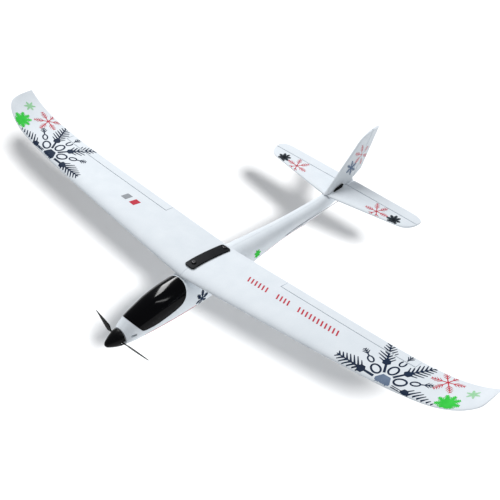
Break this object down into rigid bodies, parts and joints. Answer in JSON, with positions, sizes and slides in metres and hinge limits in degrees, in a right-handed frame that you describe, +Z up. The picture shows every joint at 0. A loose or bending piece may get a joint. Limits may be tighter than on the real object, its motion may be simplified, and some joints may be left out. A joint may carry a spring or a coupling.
{
  "type": "rc sailplane",
  "caption": "Foam electric glider with a black canopy, folding propeller, bolted upturned-tip wing, and hinged ailerons, elevator and rudder moved by servos and wires.",
  "frame": {"origin": "centre of the belly skid's flat underside, just under the balance point", "axes": "+Z up, -Y towards the nose, +X towards the plane's left wing tip"},
  "size_m": [0.782, 0.4671, 0.099],
  "materials": {
    "foam": "moulded bead foam, satin",
    "canopy_gloss": "gloss black",
    "prop_plastic": "semi-gloss moulded",
    "black_nylon": "satin moulded",
    "black_screw": "black oxide",
    "carbon": "pultruded carbon rod",
    "steel": "bright wire and machined steel",
    "magnet": "nickel plated",
    "battery_wrap": "shrink wrap",
    "strap": "hook and loop tape",
    "board": "solder mask",
    "horn_nylon": "natural nylon",
    "servo_case": "translucent blue case"
  },
  "bodies": {
    "airframe": {"aileron_servo_left": "servo_case", "aileron_servo_right": "servo_case", "battery": "battery_wrap", "battery_strap": "strap", "battery_tray": "black_nylon", "belly_skid": "black_nylon", "boom_tube": "carbon", "canopy_former": "black_nylon", "elevator_servo": "servo_case", "fin": "foam", "flight_board": "board", "fuselage_left_half": "foam", "fuselage_magnet": "magnet", "fuselage_right_half": "foam", "motor": "steel", "motor_mount": "black_nylon", "rudder_servo": "servo_case", "stab_clip_left": "black_nylon", "stab_clip_right": "black_nylon", "stabiliser": "foam", "wing_bolt_block_front": "black_nylon", "wing_bolt_block_rear": "black_nylon", "wing_left": "foam", "wing_plate": "black_nylon", "wing_right": "foam", "wing_screw_front": "black_screw", "wing_screw_rear": "black_screw", "wing_spar_left": "carbon", "wing_spar_right": "carbon"},
    "canopy": {"canopy": "canopy_gloss", "canopy_magnet": "magnet"},
    "propeller": {"prop_hub": "black_nylon", "motor_shaft": "steel", "spinner": "prop_plastic", "blade_pin_left": "steel", "blade_pin_right": "steel"},
    "blade_left": {"blade_left": "prop_plastic"},
    "blade_right": {"blade_right": "prop_plastic"},
    "aileron_left": {"aileron_left": "foam", "aileron_horn_left": "horn_nylon"},
    "aileron_right": {"aileron_right": "foam", "aileron_horn_right": "horn_nylon"},
    "elevator": {"elevator_left": "foam", "elevator_right": "foam", "elevator_joiner": "steel", "elevator_horn": "horn_nylon"},
    "rudder": {"rudder": "foam", "rudder_horn": "horn_nylon"},
    "aileron_arm_left": {"aileron_servo_left_arm": "horn_nylon"},
    "aileron_arm_right": {"aileron_servo_right_arm": "horn_nylon"},
    "elevator_arm": {"elevator_servo_arm": "horn_nylon"},
    "rudder_arm": {"rudder_servo_arm": "horn_nylon"},
    "aileron_rod_left": {"aileron_pushrod_left": "steel"},
    "aileron_rod_right": {"aileron_pushrod_right": "steel"},
    "elevator_rod": {"elevator_pushrod": "steel"},
    "rudder_rod": {"rudder_pushrod": "steel"}
  },
  "joints": [
    {"name": "canopy_lift", "type": "slide", "parent": "airframe", "child": "canopy", "axis": [0, 0, 1], "range_m": [0, 0.08]},
    {"name": "propeller_spin", "type": "hinge", "parent": "airframe", "child": "propeller", "pos_m": [0, -0.1215, 0.0168], "axis": [0, 1, 0], "continuous": true},
    {"name": "blade_fold_left", "type": "hinge", "parent": "propeller", "child": "blade_left", "pos_m": [0.00591, -0.1215, 0.01576], "axis": [0.1736, 0, 0.9848], "range_deg": [-10, 26]},
    {"name": "blade_fold_right", "type": "hinge", "parent": "propeller", "child": "blade_right", "pos_m": [-0.00591, -0.1215, 0.01784], "axis": [-0.1736, 0, -0.9848], "range_deg": [-10, 26]},
    {"name": "aileron_hinge_left", "type": "hinge", "parent": "airframe", "child": "aileron_left", "pos_m": [0.1985, 0.04102, 0.06065], "axis": [0.9974, -0.01, 0.0711], "range_deg": [-20, 20]},
    {"name": "aileron_arm_left", "type": "hinge", "parent": "airframe", "child": "aileron_arm_left", "pos_m": [0.1197, 0.018, 0.05556], "axis": [1, 0, 0], "range_deg": [-21, 21]},
    {"name": "aileron_rod_left", "type": "slide", "parent": "airframe", "child": "aileron_rod_left", "axis": [0, 0.9999, 0.0142], "range_m": [-0.0027, 0.0027]},
    {"name": "aileron_hinge_right", "type": "hinge", "parent": "airframe", "child": "aileron_right", "pos_m": [-0.1985, 0.04102, 0.06065], "axis": [0.9974, 0.01, -0.0711], "range_deg": [-20, 20]},
    {"name": "aileron_arm_right", "type": "hinge", "parent": "airframe", "child": "aileron_arm_right", "pos_m": [-0.1197, 0.018, 0.05556], "axis": [1, 0, 0], "range_deg": [-21, 21]},
    {"name": "aileron_rod_right", "type": "slide", "parent": "airframe", "child": "aileron_rod_right", "axis": [0, 0.9999, 0.0142], "range_m": [-0.0027, 0.0027]},
    {"name": "elevator_hinge", "type": "hinge", "parent": "airframe", "child": "elevator", "pos_m": [0, 0.263, 0.0355], "axis": [1, 0, 0], "range_deg": [-20, 20]},
    {"name": "elevator_arm", "type": "hinge", "parent": "airframe", "child": "elevator_arm", "pos_m": [0.0051, 0.028, 0.013], "axis": [1, 0, 0], "range_deg": [-24, 24]},
    {"name": "elevator_rod", "type": "slide", "parent": "airframe", "child": "elevator_rod", "axis": [0.0272, 0.9991, 0.0319], "range_m": [-0.0032, 0.0032]},
    {"name": "rudder_hinge", "type": "hinge", "parent": "airframe", "child": "rudder", "pos_m": [0, 0.29164, 0.06], "axis": [0, 0.533, 0.8461], "range_deg": [-22, 22]},
    {"name": "rudder_arm", "type": "hinge", "parent": "airframe", "child": "rudder_arm", "pos_m": [-0.0051, 0.028, 0.033], "axis": [1, 0, 0], "range_deg": [-24, 24]},
    {"name": "rudder_rod", "type": "slide", "parent": "airframe", "child": "rudder_rod", "axis": [-0.0135, 0.9998, 0.0163], "range_m": [-0.003, 0.003]}
  ],
  "couplings": [
    {"joint": "aileron_arm_left", "follows": "aileron_hinge_left", "ratio": 1},
    {"joint": "aileron_rod_left", "follows": "aileron_hinge_left", "m_per_rad": 0.007},
    {"joint": "aileron_arm_right", "follows": "aileron_hinge_right", "ratio": 1},
    {"joint": "aileron_rod_right", "follows": "aileron_hinge_right", "m_per_rad": 0.007},
    {"joint": "elevator_arm", "follows": "elevator_hinge", "ratio": -1.1429},
    {"joint": "elevator_rod", "follows": "elevator_hinge", "m_per_rad": 0.008},
    {"joint": "rudder_arm", "follows": "rudder_hinge", "ratio": -1.0033},
    {"joint": "rudder_rod", "follows": "rudder_hinge", "m_per_rad": -0.007023}
  ]
}
